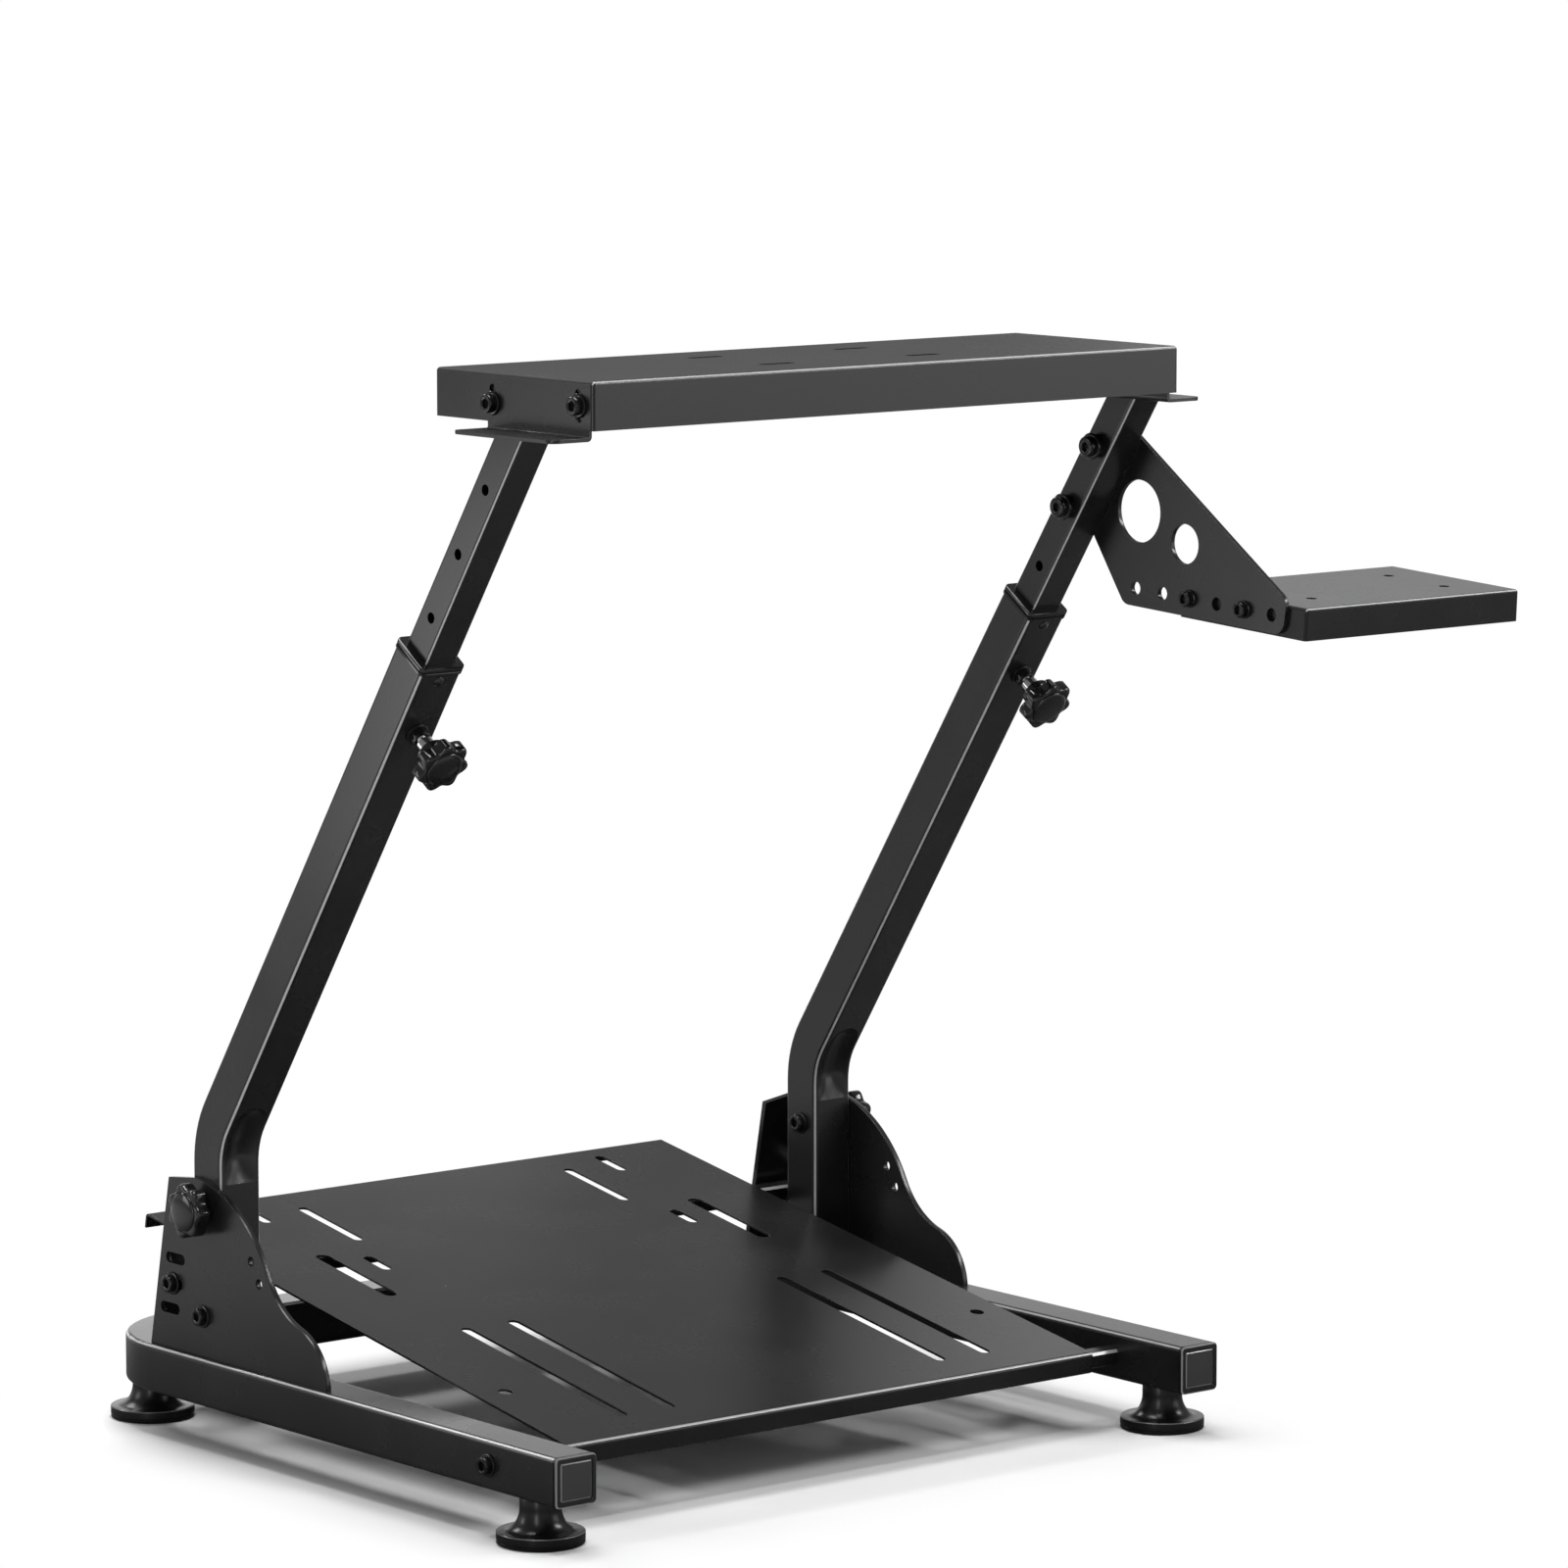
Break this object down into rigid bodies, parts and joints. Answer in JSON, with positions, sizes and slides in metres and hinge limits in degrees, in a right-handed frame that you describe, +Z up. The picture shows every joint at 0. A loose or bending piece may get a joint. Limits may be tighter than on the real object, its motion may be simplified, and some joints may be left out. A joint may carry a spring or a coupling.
{
  "type": "racing wheel stand",
  "caption": "Folding-type racing wheel stand: bent tube base and legs, telescoping uprights, tilting wheel deck, slotted pedal plate and a side tray for a gear shifter.",
  "frame": {"origin": "on the floor, under the middle of the bounding box", "axes": "+X to the driver's right, +Y away from the driver, +Z up"},
  "size_m": [0.9338, 0.772, 0.9035],
  "materials": {
    "powder_coat": "satin black powder coat",
    "moulded_plastic": "moulded black",
    "foot_rubber": "matte black",
    "black_screws": "black oxide"
  },
  "bodies": {
    "base": {"base_frame": "powder_coat", "front_crossbar": "powder_coat", "rear_crossbar": "powder_coat", "left_bracket": "powder_coat", "right_bracket": "powder_coat", "pedal_plate": "powder_coat", "left_rail_cap": "moulded_plastic", "right_rail_cap": "moulded_plastic", "left_leg": "powder_coat", "right_leg": "powder_coat", "left_collar": "moulded_plastic", "right_collar": "moulded_plastic", "left_clamp_boss": "powder_coat", "right_clamp_boss": "powder_coat", "lock_bolts": "black_screws", "base_bolts": "black_screws"},
    "upper": {"left_inner_tube": "powder_coat", "right_inner_tube": "powder_coat", "left_deck_bracket": "powder_coat", "right_deck_bracket": "powder_coat", "deck_bolts": "black_screws", "shifter_bracket": "powder_coat", "shifter_tray": "powder_coat", "shifter_bolts": "black_screws"},
    "deck": {"wheel_deck": "powder_coat"},
    "left_clamp": {"left_clamp_knob": "moulded_plastic"},
    "left_lock": {"left_lock_knob": "moulded_plastic"},
    "right_clamp": {"right_clamp_knob": "moulded_plastic"},
    "right_lock": {"right_lock_knob": "moulded_plastic"},
    "front_left_foot": {"front_left_foot": "foot_rubber"},
    "front_right_foot": {"front_right_foot": "foot_rubber"},
    "rear_left_foot": {"rear_left_foot": "foot_rubber"},
    "rear_right_foot": {"rear_right_foot": "foot_rubber"}
  },
  "joints": [
    {"name": "height_slide", "type": "slide", "parent": "base", "child": "upper", "axis": [0, -0.5621, 0.8271], "range_m": [-0.07, 0.08]},
    {"name": "deck_tilt", "type": "hinge", "parent": "upper", "child": "deck", "pos_m": [-0.10605, -0.14141, 0.8795], "axis": [-1, 0, 0], "range_deg": [0, 4]},
    {"name": "left_clamp_turn", "type": "hinge", "parent": "base", "child": "left_clamp", "pos_m": [-0.42005, -0.05832, 0.61602], "axis": [0, -0.8271, -0.5621], "range_deg": [0, 360]},
    {"name": "left_lock_turn", "type": "hinge", "parent": "base", "child": "left_lock", "pos_m": [-0.44505, 0.20863, 0.1995], "axis": [-1, 0, 0], "range_deg": [0, 360]},
    {"name": "right_clamp_turn", "type": "hinge", "parent": "base", "child": "right_clamp", "pos_m": [0.20795, -0.05832, 0.61602], "axis": [0, -0.8271, -0.5621], "range_deg": [0, 360]},
    {"name": "right_lock_turn", "type": "hinge", "parent": "base", "child": "right_lock", "pos_m": [0.23295, 0.20863, 0.1995], "axis": [1, 0, 0], "range_deg": [0, 360]},
    {"name": "front_left_level", "type": "slide", "parent": "base", "child": "front_left_foot", "axis": [0, 0, 1], "range_m": [-0.012, 0]},
    {"name": "front_right_level", "type": "slide", "parent": "base", "child": "front_right_foot", "axis": [0, 0, 1], "range_m": [-0.012, 0]},
    {"name": "rear_left_level", "type": "slide", "parent": "base", "child": "rear_left_foot", "axis": [0, 0, 1], "range_m": [-0.012, 0]},
    {"name": "rear_right_level", "type": "slide", "parent": "base", "child": "rear_right_foot", "axis": [0, 0, 1], "range_m": [-0.012, 0]}
  ]
}
